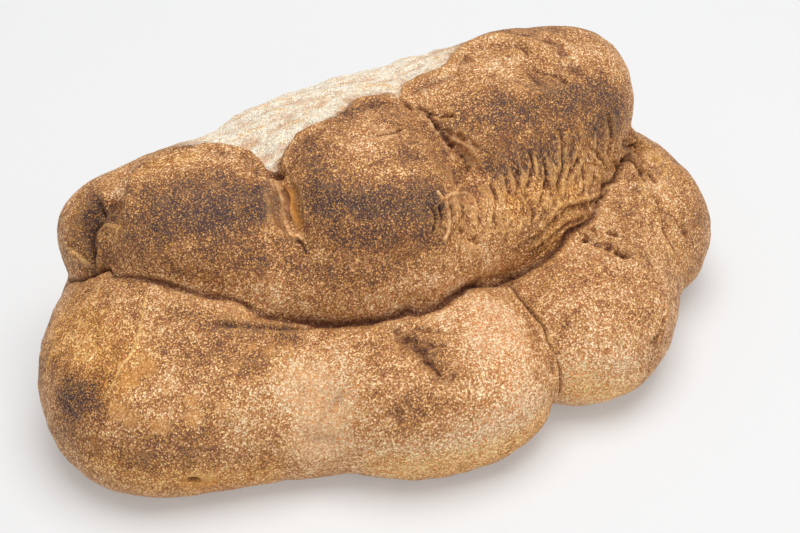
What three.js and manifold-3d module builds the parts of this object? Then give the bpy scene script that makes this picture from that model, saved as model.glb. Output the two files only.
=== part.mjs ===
// A folded country loaf, baked in one piece: a lower fold of dough that spreads into lobes on the oven floor,
// and an upper roll that lies on it and swells into knuckles. Units are millimetres, +Z up, +X along the loaf
// and -Y towards the open side of the fold. The origin is on the floor, in the middle of the loaf's footprint.
import * as THREE from "three";
import { mergeVertices } from "three/addons/utils/BufferGeometryUtils.js";
import Module from "manifold-3d";

const wasm = await Module();
wasm.setup();

const crustColour = 0xb07b45;
const floorBlock = { side: 600, depth: 100 }; // cuts the base flat, wider than the loaf

// Each fold is a skin drawn over its lobes. A lobe is a plump rounded swelling: at is its middle, half its three
// half sizes, turn its heading about Z in degrees and plump its fullness, where 2 is an ellipsoid and more is
// squarer. heart is a point inside every lobe's reach, and rings is how many parts the skin has round and down.
const folds = {
  // the broad front fold: a wide left bulge and its shelf under the roll, a waist, a round middle bulge, and the
  // dough under the left end
  frontFold: {
    heart: [-50, -15, 30],
    rings: [56, 32],
    blend: 6,
    lobes: {
      leftBulge: { at: [-104, -2, 26], half: [66, 62, 38], turn: -10, plump: 2.4 },
      leftShelf: { at: [-112, 12, 40], half: [34, 30, 30], turn: -20, plump: 2.2 },
      leftCorner: { at: [-114, -20, 24], half: [46, 41, 28], turn: 0, plump: 2.2 },
      waist: { at: [-60, -30, 22], half: [40, 42, 28], turn: 0, plump: 2.2 },
      middleBulge: { at: [-3, -42, 25], half: [56, 53, 34], turn: 0, plump: 2.4 },
      leftBack: { at: [-88, 48, 26], half: [56, 44, 44], turn: 14, plump: 2.4 },
    },
  },
  // the lobe to the right of the front fold, which runs back under the roll
  rightFold: {
    heart: [88, -8, 25],
    rings: [36, 22],
    blend: 4,
    lobes: {
      front: { at: [84, -15, 24], half: [48, 65, 33], turn: -28, plump: 2.2 },
      back: { at: [95, 14, 32], half: [40, 44, 32], turn: 0, plump: 2.4 },
    },
  },
  // the rough end of the dough, behind the right lobe
  endFold: {
    heart: [116, 34, 28],
    rings: [36, 22],
    blend: 4,
    lobes: {
      end: { at: [117, 35, 28], half: [53, 60, 36], turn: 0, plump: 2.3 },
    },
  },
  // the dough that fills the middle between the folds, down to the oven floor
  middle: {
    heart: [10, 8, 22],
    rings: [24, 12],
    blend: 4,
    lobes: {
      core: { at: [10, 8, 22], half: [88, 54, 30], turn: 0, plump: 3 },
    },
  },
  // the roll on top: a small left end, three knuckles, the right one's square shoulder, a long straight back and
  // the lip along its front
  roll: {
    heart: [0, 40, 62],
    rings: [88, 42],
    blend: 4,
    lobes: {
      smallEnd: { at: [-115, 56, 65], half: [30, 27, 29], turn: 0, plump: 2.2 },
      leftKnuckle: { at: [-83, 36, 74], half: [41, 42, 34], turn: -15, plump: 2.4 },
      middleKnuckle: { at: [-12, 21, 77], half: [43, 48, 39], turn: -5, plump: 2.4 },
      rightKnuckle: { at: [76, 56, 76], half: [58, 46, 41], turn: 12, plump: 2.7 },
      shoulder: { at: [115, 66, 85], half: [28, 27, 27], turn: 0, plump: 2.5 },
      back: { at: [12, 61, 51], half: [104, 46, 59], turn: 4, plump: 2.6 },
      leftLip: { at: [-30, 14, 64], half: [76, 42, 22], turn: -12, plump: 2.2 },
      rightLip: { at: [55, 25, 66], half: [64, 40, 24], turn: 22, plump: 2.2 },
    },
  },
};

// How finely a skin is found: each ray starts far out, marches in by steps, and is then halved onto the skin.
const ray = { start: 260, step: 3, halvings: 12 };
const weldWithin = 1e-3;

const up = new THREE.Vector3(0, 0, 1);
const vector = (numbers) => new THREE.Vector3(...numbers);

// Distance from a point to a lobe's skin along the line from its middle, below 0 inside it.
function depthInLobe(point, { at, half, turn, plump }) {
  const local = point.clone().sub(vector(at));
  local.applyAxisAngle(up, -THREE.MathUtils.degToRad(turn));
  const reaches = [local.x / half[0], local.y / half[1], local.z / half[2]];
  const powers = reaches.map((reach) => Math.abs(reach) ** plump);
  const share = Math.pow(powers[0] + powers[1] + powers[2], 1 / plump);
  return local.length() * (1 - 1 / Math.max(share, 1e-6));
}

// The lobes of a fold run together softly over the blend width.
function depthInFold(point, { lobes, blend }) {
  let sum = 0;
  for (const lobe of Object.values(lobes)) sum += Math.exp(-depthInLobe(point, lobe) / blend);
  return -blend * Math.log(sum);
}

// Where the skin is from the heart in one direction: a ray comes in from outside until it meets the dough.
function skinPoint(direction, fold) {
  const pointAt = (length) => vector(fold.heart).addScaledVector(direction, length);
  let outside = ray.start;
  while (outside > ray.step && depthInFold(pointAt(outside - ray.step), fold) > 0) outside -= ray.step;
  let inside = outside - ray.step;
  for (let halving = 0; halving < ray.halvings; halving++) {
    const between = (inside + outside) / 2;
    if (depthInFold(pointAt(between), fold) > 0) outside = between;
    else inside = between;
  }
  return pointAt((inside + outside) / 2);
}

// The size of the box that holds a fold's lobes, which spreads the skin's points evenly over a long fold.
function spanOf({ lobes }) {
  const box = new THREE.Box3();
  for (const { at, half } of Object.values(lobes)) {
    box.expandByPoint(vector(at).add(vector(half)));
    box.expandByPoint(vector(at).sub(vector(half)));
  }
  return box.getSize(new THREE.Vector3());
}

function skinOf(fold) {
  const skin = new THREE.SphereGeometry(1, ...fold.rings);
  skin.rotateX(Math.PI / 2);
  const span = spanOf(fold);
  const spots = skin.getAttribute("position");
  for (let i = 0; i < spots.count; i++) {
    const direction = new THREE.Vector3().fromBufferAttribute(spots, i).multiply(span).normalize();
    const point = skinPoint(direction, fold);
    spots.setXYZ(i, point.x, point.y, point.z);
  }
  return skin;
}

function solidOf(geometry) {
  geometry.deleteAttribute("normal");
  geometry.deleteAttribute("uv");
  const merged = mergeVertices(geometry, weldWithin);
  const mesh = new wasm.Mesh({
    numProp: 3,
    vertProperties: merged.getAttribute("position").array,
    triVerts: new Uint32Array(merged.index.array),
  });
  return new wasm.Manifold(mesh);
}

// The folds grow into one solid, whose base is flat where it lay on the oven floor.
function bakedDough() {
  const solids = Object.values(folds).map((fold) => solidOf(skinOf(fold)));
  const joined = solids.reduce((dough, solid) => dough.add(solid));
  const underFloor = new THREE.BoxGeometry(floorBlock.side, floorBlock.side, floorBlock.depth);
  underFloor.translate(0, 0, -floorBlock.depth / 2);
  return joined.subtract(solidOf(underFloor)).getMesh();
}

function centredGeometry(solidMesh) {
  const geometry = new THREE.BufferGeometry();
  geometry.setAttribute("position", new THREE.BufferAttribute(solidMesh.vertProperties, 3));
  geometry.setIndex(new THREE.BufferAttribute(solidMesh.triVerts, 1));
  geometry.computeBoundingBox();
  const centre = geometry.boundingBox.getCenter(new THREE.Vector3());
  geometry.translate(-centre.x, -centre.y, 0);
  return geometry;
}

const crust = new THREE.MeshStandardMaterial({ color: crustColour, roughness: 0.8, metalness: 0 });
const loaf = new THREE.Mesh(centredGeometry(bakedDough()), crust);
loaf.name = "loaf";

const root = new THREE.Group();
root.add(loaf);

export default root;
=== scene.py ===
import math

import bmesh
import bpy
import numpy as np
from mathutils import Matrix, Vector, noise
from mathutils.bvhtree import BVHTree
from mathutils.kdtree import KDTree


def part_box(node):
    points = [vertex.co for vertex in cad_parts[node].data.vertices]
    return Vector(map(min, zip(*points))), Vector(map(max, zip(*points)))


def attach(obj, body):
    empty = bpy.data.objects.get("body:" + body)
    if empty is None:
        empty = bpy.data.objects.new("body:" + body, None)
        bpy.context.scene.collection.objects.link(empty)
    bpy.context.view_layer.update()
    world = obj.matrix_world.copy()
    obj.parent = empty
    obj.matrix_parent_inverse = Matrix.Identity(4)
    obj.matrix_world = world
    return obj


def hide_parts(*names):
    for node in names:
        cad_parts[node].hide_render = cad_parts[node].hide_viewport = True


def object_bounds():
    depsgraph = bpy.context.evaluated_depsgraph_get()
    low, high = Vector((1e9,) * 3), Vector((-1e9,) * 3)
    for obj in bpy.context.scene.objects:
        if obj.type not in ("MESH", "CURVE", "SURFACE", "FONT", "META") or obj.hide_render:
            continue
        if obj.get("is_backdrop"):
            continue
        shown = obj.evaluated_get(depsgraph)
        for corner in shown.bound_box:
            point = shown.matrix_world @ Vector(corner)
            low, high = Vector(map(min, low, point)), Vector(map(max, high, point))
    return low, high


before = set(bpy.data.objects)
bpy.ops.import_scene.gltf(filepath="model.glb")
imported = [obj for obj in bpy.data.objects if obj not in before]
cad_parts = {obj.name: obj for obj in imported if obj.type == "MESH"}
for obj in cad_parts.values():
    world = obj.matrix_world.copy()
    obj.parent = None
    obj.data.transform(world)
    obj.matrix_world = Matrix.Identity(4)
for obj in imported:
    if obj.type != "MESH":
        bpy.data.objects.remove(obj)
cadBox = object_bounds()
boxLow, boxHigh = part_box("loaf")
boxMiddle = (boxLow + boxHigh) / 2
boxHalf = (boxHigh - boxLow) / 2
mm = 0.001


# The crust is shaped in millimetres. A place on it is three percents of the loaf's own box:
# along it from its middle, across it from its middle, and up from the floor.
def inPlace(percents):
    along, across, up = percents
    return np.array((
        boxMiddle.x + boxHalf.x * along / 100,
        boxMiddle.y + boxHalf.y * across / 100,
        boxLow.z + boxHalf.z * up / 50,
    )) / mm


def smoothStep(low, high, values):
    t = np.clip((values - low) / (high - low), 0, 1)
    return t * t * (3 - 2 * t)


# The skin: a fine even mesh over the rough solid, softened but for its seams
crustSkin = {
    "weld": 0.01,            # mm within which the rough solid's loose corners are joined
    "voxel": 2.1,            # mm between the points of the skin
    "seam": (0.2, 0.7),      # mm below the skin around it where a seam begins, and is full
    "seamReach": 3,          # how many points round a seam are spared the softening
    "soften": (16, 0.8),     # rounds that take off the solid's flat facets, and how far each goes
    "even": (3, 0.6),        # the same for the whole skin, seams too
    "refine": (3.0, 1.3),    # mm from a line where the skin is made finer, once and then again
    "thin": 3,               # mm wide, from which a line needs no finer skin
    "creaseGap": 1.5,        # mm between the places that the finer skin is made round
    "seamBlur": (4, 10, 14),  # rounds of blur that seams are found and measured against, in turn
    "swell": 0.8,            # mm given back after the softening, which shrinks the dough
    "swellSeam": (1.5, 0.2),  # mm below the skin around it where nothing is given back, and all is
    "swellFoot": (0.5, 4),   # mm above the floor, the same
    "lineDepth": 1.4,        # how much deeper every line is pressed than it says
    "wrinkleDepth": 0.8,     # the same for the right end's wrinkles
    "easeLines": (1, 0.3),   # rounds of softening after the lines
}


def roughCrust():
    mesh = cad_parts["loaf"].data.copy()
    dough = bmesh.new()
    dough.from_mesh(mesh)
    bmesh.ops.remove_doubles(dough, verts=dough.verts, dist=crustSkin["weld"] * mm)
    dough.to_mesh(mesh)
    dough.free()
    crust = bpy.data.objects.new("loafCrust", mesh)
    bpy.context.scene.collection.objects.link(crust)
    voxels = crust.modifiers.new("voxels", "REMESH")
    voxels.mode = "VOXEL"
    voxels.voxel_size = crustSkin["voxel"] * mm
    graph = bpy.context.evaluated_depsgraph_get()
    fine = bpy.data.meshes.new_from_object(crust.evaluated_get(graph))
    crust.modifiers.clear()
    crust.data = fine
    fine.name = "loafCrust"
    fine.materials.clear()
    return crust


# The crust's points in mm and how they meet, kept as arrays while it is shaped. A mark is a shade
# laid on the points, which the material reads.
class Skin:
    def __init__(self, mesh):
        self.mesh = mesh
        self.count = len(mesh.vertices)
        flat = np.empty(self.count * 3, np.float32)
        mesh.vertices.foreach_get("co", flat)
        self.points = flat.reshape(-1, 3).astype(float) / mm
        ends = np.empty(len(mesh.edges) * 2, np.int32)
        mesh.edges.foreach_get("vertices", ends)
        self.starts, self.stops = ends.reshape(-1, 2).T
        self.meets = np.bincount(ends, minlength=self.count).astype(float)
        self.faces = [tuple(face.vertices) for face in mesh.polygons]
        self.marks = {}
        self.settle()

    def settle(self):
        self.mesh.vertices.foreach_set("co", (self.points * mm).astype(np.float32).ravel())
        self.mesh.update()
        flat = np.empty(self.count * 3, np.float32)
        self.mesh.vertex_normals.foreach_get("vector", flat)
        self.normals = flat.reshape(-1, 3).astype(float)
        self.tree = BVHTree.FromPolygons([tuple(point) for point in self.points], self.faces)

    def around(self, values):  # the mean of each point's neighbours
        if values.ndim > 1:
            return np.stack([self.around(column) for column in values.T], 1)
        total = np.bincount(self.starts, values[self.stops], self.count)
        total += np.bincount(self.stops, values[self.starts], self.count)
        return total / self.meets

    def blur(self, values, passes, share=0.8):
        for _ in range(passes):
            values = values + (self.around(values) - values) * share
        return values

    def ease(self, passes, share, where=1):  # moves the points towards their neighbours
        for _ in range(passes):
            self.points += (self.around(self.points) - self.points) * share * where

    def hollow(self, passes):  # mm that each point lies below the skin around it, so a seam is above 0
        return ((self.blur(self.points, passes) - self.points) * self.normals).sum(1)

    def mark(self, name, plain=0.0):
        if name not in self.marks:
            self.marks[name] = np.full(self.count, float(plain))
        return self.marks[name]


# Halves the mesh's edges near the tree's points.
def refined(mesh, tree, reach):
    dough = bmesh.new()
    dough.from_mesh(mesh)
    near = []
    for edge in dough.edges:
        middle = (edge.verts[0].co + edge.verts[1].co) / 2
        if tree.find(middle)[2] < reach * mm:
            near.append(edge)
    bmesh.ops.subdivide_edges(dough, edges=near, cuts=1, use_grid_fill=True)
    many = [face for face in dough.faces if len(face.verts) > 4]
    bmesh.ops.triangulate(dough, faces=many)
    dough.to_mesh(mesh)
    dough.free()


# Drawing on the skin
drawing = {
    "gap": 0.7,              # mm between the points of a drawn line
    "evenSeam": 30,          # rounds that even out a line which dropped into a seam
    "evenWay": 12,           # rounds that even out the way it is pressed
    "pressed": 8,            # mm that earlier lines may have pressed a point in
    "ragged": 0.35,          # how often per mm a ragged line changes
    "widest": 3.2,           # times a line's width, where its groove and lips have died out
    "sharpest": 0.5,         # mm, the narrowest that a step can be
}


# A smooth curve through the places.
def curveThrough(places, gap=drawing["gap"]):
    knots = [inPlace(place) for place in places]
    if len(knots) == 1:
        return np.array(knots)
    knots = [2 * knots[0] - knots[1], *knots, 2 * knots[-1] - knots[-2]]
    points = []
    for a, b, c, d in zip(knots, knots[1:], knots[2:], knots[3:]):
        steps = max(2, math.ceil(np.linalg.norm(c - b) / gap))
        for step in range(steps):
            t = step / steps
            first = (c - a) * t
            second = (2 * a - 5 * b + 4 * c - d) * t * t
            third = (3 * b - a - 3 * c + d) * t ** 3
            points.append(b + (first + second + third) / 2)
    points.append(knots[-2])
    return np.array(points)


def evened(rows, passes):
    for _ in range(passes):
        rows[1:-1] = (rows[:-2] + rows[1:-1] * 2 + rows[2:]) / 4
    return rows


# A curve moved onto the skin, with the skin's normals there. With sink, it first drops into the deepest
# seam within that many mm.
def laidOn(skin, line, sink=0):
    if sink:
        depth = skin.seamDepth
        for number, point in enumerate(line):
            near = np.flatnonzero((np.abs(skin.points - point) < sink).all(1))
            if len(near):
                line[number] = skin.points[near[depth[near].argmax()]]
        line = evened(line, drawing["evenSeam"])
    spots = []
    normals = []
    for point in line:
        spot, normal, _, _ = skin.tree.find_nearest(Vector(point))
        spots.append(spot)
        normals.append(normal)
    return np.array(spots), evened(np.array(normals), drawing["evenWay"])


# The skin's points within reach of a line: their numbers, distance from it, share along it, side of it,
# the way out of the skin there, and whether they face that way. How far earlier lines pressed a point in
# is left out of its distance.
def nearLine(skin, places, reach, sink=0):
    line, facing = laidOn(skin, curveThrough(places), sink)
    pressed = drawing["pressed"]
    room = reach + pressed
    near = np.flatnonzero(((skin.points > line.min(0) - room) & (skin.points < line.max(0) + room)).all(1))
    gaps = skin.points[near][:, None, :] - line[None]
    nearest = (gaps ** 2).sum(2).argmin(1)
    out = facing[nearest]
    offset = gaps[np.arange(len(near)), nearest]
    height = (offset * out).sum(1)
    away = np.sqrt(np.maximum((offset ** 2).sum(1) - height ** 2, 0) + np.maximum(height, 0) ** 2)
    faces = smoothStep(-0.3, 0.3, (skin.normals[near] * out).sum(1))
    across = np.cross(np.gradient(line, axis=0)[nearest], out)
    side = (offset * across).sum(1) / np.maximum(np.linalg.norm(across, axis=1), 1e-9)
    along = nearest / (len(line) - 1)
    keep = (away < reach) & (height > -pressed) & (faces > 0)
    return near[keep], away[keep], along[keep], side[keep], out[keep], faces[keep]


# Presses a line into the skin. deep is how far, lips raises both of its sides, and step raises its right
# side and lowers its left one over reach. fade is the share of its length over which each end dies out,
# ragged makes it uneven, sink drops it into a seam, and the rest are marks laid along it, grow times as
# wide.
def draw(skin, depth, line, wide, deep=0, lips=0, step=0, reach=0, fade=0.15, ragged=0, grow=1, sink=0,
         **marks):
    reach = max(reach, wide * drawing["widest"])
    near, away, along, side, out, faces = nearLine(skin, line, reach, sink)
    ends = smoothStep(0, fade, along) * smoothStep(0, fade, 1 - along) * faces
    uneven = 1.0
    if ragged:
        breaks = [noise.noise(Vector(point) * drawing["ragged"]) for point in skin.points[near]]
        uneven = 1 + ragged * np.array(breaks) * 2
    groove = np.exp(-(away / wide) ** 2)
    rim = np.exp(-((away - wide * 2) / wide) ** 2)
    ledge = np.tanh(side / max(wide, drawing["sharpest"])) * smoothStep(reach, 0, away)
    move = (lips * rim - deep * groove) * uneven + step * ledge * (1 + uneven) / 2
    skin.points[near] += out * (move * ends * depth)[:, None]
    for name, amount in marks.items():
        values = amount * ends * np.exp(-(away / (wide * grow)) ** 2) * uneven
        mark = skin.mark(name)
        mark[near] = np.where(np.abs(values) > np.abs(mark[near]), values, mark[near])


# 1 along the places, falling to 0 at wide mm from them
def touch(skin, places, wide):
    line = curveThrough(places, max(1.0, wide / 6))  # a wide touch needs fewer points to measure from
    mask = np.zeros(skin.count)
    within = ((skin.points > line.min(0) - wide) & (skin.points < line.max(0) + wide)).all(1)
    near = np.flatnonzero(within)
    away = np.full(len(near), np.inf)
    for point in line:
        away = np.minimum(away, np.linalg.norm(skin.points[near] - point, axis=1))
    mask[near] = smoothStep(wide, 0, away)
    return mask


# Smooth noise at each point, between about -1 and 1. size is its wavelength in mm, one number or three.
def grain(skin, size, shift=0):
    scaled = skin.points / np.broadcast_to(np.asarray(size, float), (3,)) + shift
    return np.array([noise.noise(Vector(point)) for point in scaled]) * 1.6  # which alone rarely passes 0.6


# Noises laid on one another: the size, shift and height of each
def grains(skin, *layers):
    return sum(grain(skin, size, shift) * height for size, shift, height in layers)


# Parts of the skin that are pulled a little: how wide in mm, how many mm each way, and the places
pulls = [
    (22, (0.9, 2.3, 3.1), [(-67, 0, 62), (-59, -13, 59), (-50, -19, 55)]),
    (30, (-0.5, -1.3, -1.7), [(-13, -36, 50), (2, -38, 50)]),
    (28, (-0.7, -1.7, -2.3), [(29, -22, 46), (45, -17, 51), (52, -12, 53)]),
]

# Creases, cuts and edges, each pressed along a few places by draw. First those on the roll
rollLines = [
    # the cut between the left and middle knuckles: its valley, smooth skin, hole and torn strand
    dict(line=[(-27, 26, 89), (-28, 4, 86), (-29, -7, 82), (-28, -20, 71)], wide=9, deep=1.0),
    dict(line=[(-29, 14, 88), (-28, 5, 87), (-29, -1, 85), (-29, -7, 82), (-29, -13, 77)],
         wide=2.2, deep=0.9, grow=1.0, strip=1.1, fade=0.3),
    dict(line=[(-27, 12, 89), (-26, 4, 89), (-26, -5, 86), (-27, -12, 80)],
         wide=0.9, deep=-0.3, step=-0.8, reach=5, fade=0.2, grow=1.4, thread=0.3),
    dict(line=[(-30, 18, 87), (-30, 11, 86), (-30, 5, 85), (-30, 1, 83), (-31, -3, 81), (-31, -6, 78),
               (-30, -10, 76), (-29, -12, 77), (-28, -15, 76)],
         wide=0.9, deep=-1.2, grow=1.5, split=1.6, fade=0.05),
    dict(line=[(-29, 12, 87), (-29, 4, 86), (-30, -1, 83), (-30, -7, 80)],
         wide=0.7, deep=1.3, grow=1.3, fade=0.15, shade=0.85),
    dict(line=[(-32, 12, 87), (-32, 4, 85), (-33, -4, 81), (-32, -9, 77)],
         wide=1.2, deep=0.6, lips=0.4, grow=1.2, shade=0.35),
    dict(line=[(-30, -12, 76), (-29, -15, 75), (-28, -19, 72)],
         wide=0.5, deep=0.7, lips=0.2, grow=1.2, shade=0.85),
    dict(line=[(-30, 20, 88), (-29, 18, 88), (-27, 14, 89)],
         wide=1.5, deep=3.0, fade=0.45, grow=1.2, shade=1.2),
    # the torn crease between the middle and right knuckles, with its strands and the folds beside it
    dict(line=[(11, 45, 94), (18, 31, 92), (22, 7, 79), (18, -12, 74)], wide=8, deep=1.2),
    dict(line=[(12, 43, 94), (14, 36, 93), (17, 28, 92), (19, 20, 89), (20, 14, 87), (22, 8, 83),
               (23, 3, 79)],
         wide=1.5, deep=1.7, ragged=0.9, fade=0.1, grow=1.4, shade=0.7),
    dict(line=[(13, 40, 94), (14, 34, 93), (16, 27, 92), (17, 21, 90)],
         wide=0.7, deep=-1.0, ragged=1.2, fade=0.1, grow=1.5, split=1.3),
    dict(line=[(17, 22, 90), (18, 16, 88), (19, 11, 85), (20, 7, 82)],
         wide=0.7, deep=-1.2, ragged=1.0, fade=0.1, grow=1.6, split=1.4),
    dict(line=[(19, 22, 90), (23, 15, 88), (27, 8, 85)],
         wide=1.2, deep=1.3, lips=0.7, ragged=1.0, shade=0.6, split=0.3),
    dict(line=[(21, 14, 87), (24, 7, 82), (25, 1, 79)],
         wide=1.0, deep=1.0, lips=0.8, ragged=1.0, split=0.6),
    dict(line=[(15, 39, 94), (17, 33, 93), (20, 28, 92), (24, 25, 92)],
         wide=1.0, deep=1.0, lips=0.9, ragged=1.0, shade=0.7),
    dict(line=[(23, 6, 81), (21, -4, 76), (17, -14, 73)], wide=6, deep=1.4),
    # the little star of threads below it, and the dark gaps between them
    dict(line=[(8, -21, 83), (8, -23, 80), (8, -25, 77)], wide=1.3, deep=1.6, grow=1.2, shade=0.9),
    dict(line=[(12, -17, 80), (12, -19, 77), (11, -22, 74)], wide=1.3, deep=1.6, grow=1.2, shade=0.9),
    dict(line=[(5, -23, 85), (6, -26, 81), (5, -28, 78), (4, -30, 75)],
         wide=0.9, deep=1.2, lips=0.5, shade=0.7),
    dict(line=[(14, -12, 79), (16, -15, 75), (14, -20, 72)], wide=0.9, deep=1.1, lips=0.6, shade=0.6),
    dict(line=[(10, -19, 83), (9, -19, 85), (8, -17, 87)],
         wide=0.5, deep=-1.0, fade=0.04, grow=1.4, split=1.4),
    dict(line=[(10, -19, 83), (12, -15, 82), (14, -11, 79), (17, -6, 78), (20, -1, 77)],
         wide=0.5, deep=-1.1, fade=0.04, grow=1.4, split=1.4),
    dict(line=[(14, -11, 79), (17, -7, 76), (20, -5, 75), (21, -9, 74), (20, -14, 72)],
         wide=0.5, deep=-0.9, fade=0.06, grow=1.4, split=1.0),
    dict(line=[(10, -19, 83), (10, -20, 81), (10, -22, 77), (9, -26, 73), (7, -29, 71)],
         wide=0.5, deep=-1.1, fade=0.04, grow=1.4, split=1.3),
    # the left knuckle's edge over the small end, its round nose, and the tuft and cracks beside them
    dict(line=[(-62, 52, 85), (-65, 40, 86), (-67, 32, 85), (-68, 26, 83), (-70, 23, 80), (-71, 21, 77)],
         wide=1.0, step=-1.4, reach=10, fade=0.3, grow=0.5, ragged=0.6, thread=0.35),
    dict(line=[(-63, 53, 84), (-66, 42, 85), (-68, 34, 83), (-70, 30, 81), (-72, 28, 79)],
         wide=1.3, deep=1.2, grow=1.3, shade=0.85),
    dict(line=[(-62, 56, 83), (-66, 45, 84), (-70, 37, 82), (-76, 36, 74), (-79, 33, 68), (-79, 27, 60)],
         wide=4.5, deep=2.8, fade=0.2, shade=0.35),
    dict(line=[(-71, 21, 78), (-73, 27, 76), (-74, 30, 74), (-76, 30, 72), (-77, 28, 68), (-77, 27, 63),
               (-77, 25, 59), (-76, 23, 57)],
         wide=0.9, step=-1.2, reach=7, fade=0.12, grow=0.9, thread=0.3),
    dict(line=[(-74, 32, 76), (-77, 33, 72), (-79, 31, 67), (-78, 28, 61), (-77, 25, 57)],
         wide=1.4, deep=1.4, fade=0.15, grow=1.3, shade=0.95),
    dict(line=[(-69, 36, 83), (-73, 36, 79)], wide=4.0, deep=1.6, shade=0.35),
    dict(line=[(-74, 42, 79), (-74, 38, 77), (-74, 33, 76)], wide=1.1, deep=1.8, ragged=0.8, shade=0.9),
    dict(line=[(-71, 21, 78), (-72, 23, 74), (-74, 25, 70)],
         wide=0.5, deep=-0.4, grow=1.2, ragged=0.6, thread=0.8),
    dict(line=[(-71, 21, 79), (-72, 21, 76), (-72, 20, 72)],
         wide=0.5, deep=-0.4, grow=1.2, ragged=0.6, thread=0.7),
    dict(line=[(-84, 42, 62), (-82, 35, 61), (-80, 29, 59), (-78, 26, 57)],
         wide=0.5, deep=0.5, lips=0.2, step=0.8, reach=8, grow=1.2, fade=0.3, ragged=0.8, thread=0.4),
    # the knob on top of the middle knuckle, and the split below it
    dict(line=[(-6, 37, 97), (-5, 41, 96), (-3, 44, 96), (0, 48, 95), (4, 49, 95), (8, 48, 95),
               (11, 43, 94)],
         wide=1.1, deep=0.4, step=1.5, reach=9, fade=0.1, grow=1.6, shade=0.6),
    dict(line=[(-5, 15, 99), (-3, 12, 99), (1, 13, 98), (6, 17, 97), (9, 22, 95)],
         wide=0.5, deep=0.8, lips=0.1, step=-0.3, reach=5, fade=0.3, grow=1.2, shade=1.0),
    dict(line=[(-4, 10, 99), (0, 10, 98), (4, 13, 97)], wide=0.6, deep=-0.4, grow=1.5, split=0.9),
    # the knuckles' back edges, where they stand over the floury back
    dict(line=[(-45, 48, 89), (-40, 45, 89), (-34, 40, 89), (-31, 33, 88), (-30, 24, 87)],
         wide=1.2, deep=0.4, step=1.5, reach=9, fade=0.1),
    dict(line=[(-28, 19, 88), (-26, 24, 90), (-24, 28, 92), (-22, 31, 94), (-19, 34, 95), (-14, 34, 97),
               (-9, 35, 97), (-6, 37, 97)],
         wide=1.2, deep=0.5, step=1.6, reach=10, fade=0.06, grow=1.4, shade=0.25),
    dict(line=[(11, 47, 94), (15, 54, 94), (20, 56, 95), (26, 55, 97), (30, 60, 98), (36, 70, 97)],
         wide=1.4, deep=0.4, step=1.6, reach=10),
    # folds on top of the right knuckle
    dict(line=[(33, 63, 98), (42, 71, 98), (49, 68, 99), (54, 57, 100), (54, 47, 100)],
         wide=3.2, deep=-1.7),
    dict(line=[(38, 62, 99), (46, 62, 100), (51, 56, 100), (51, 47, 100)],
         wide=1.5, deep=1.2, lips=0.4, shade=0.3),
    dict(line=[(58, 62, 99), (62, 54, 99), (61, 44, 99)], wide=4, deep=1.6, shade=0.2),
    dict(line=[(46, 34, 99), (54, 36, 99), (65, 39, 97)], wide=9, deep=2.0),
    dict(line=[(50, 40, 100), (56, 33, 98), (58, 25, 96)], wide=1.2, deep=1.0, ragged=1.0, shade=0.5),
    dict(line=[(36, 30, 97), (44, 24, 95), (54, 24, 94)], wide=5, deep=-1.6),
    # soft dents along the front
    dict(line=[(-14, -35, 62), (-14, -36, 55), (-14, -36, 49)], wide=2.4, deep=0.8),
    dict(line=[(-9, -34, 69), (-3, -33, 69), (6, -29, 71)], wide=2.6, deep=0.8),
    dict(line=[(13, -22, 70), (16, -25, 65), (20, -27, 61)], wide=1.6, deep=1.0, lips=0.5),
]

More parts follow.
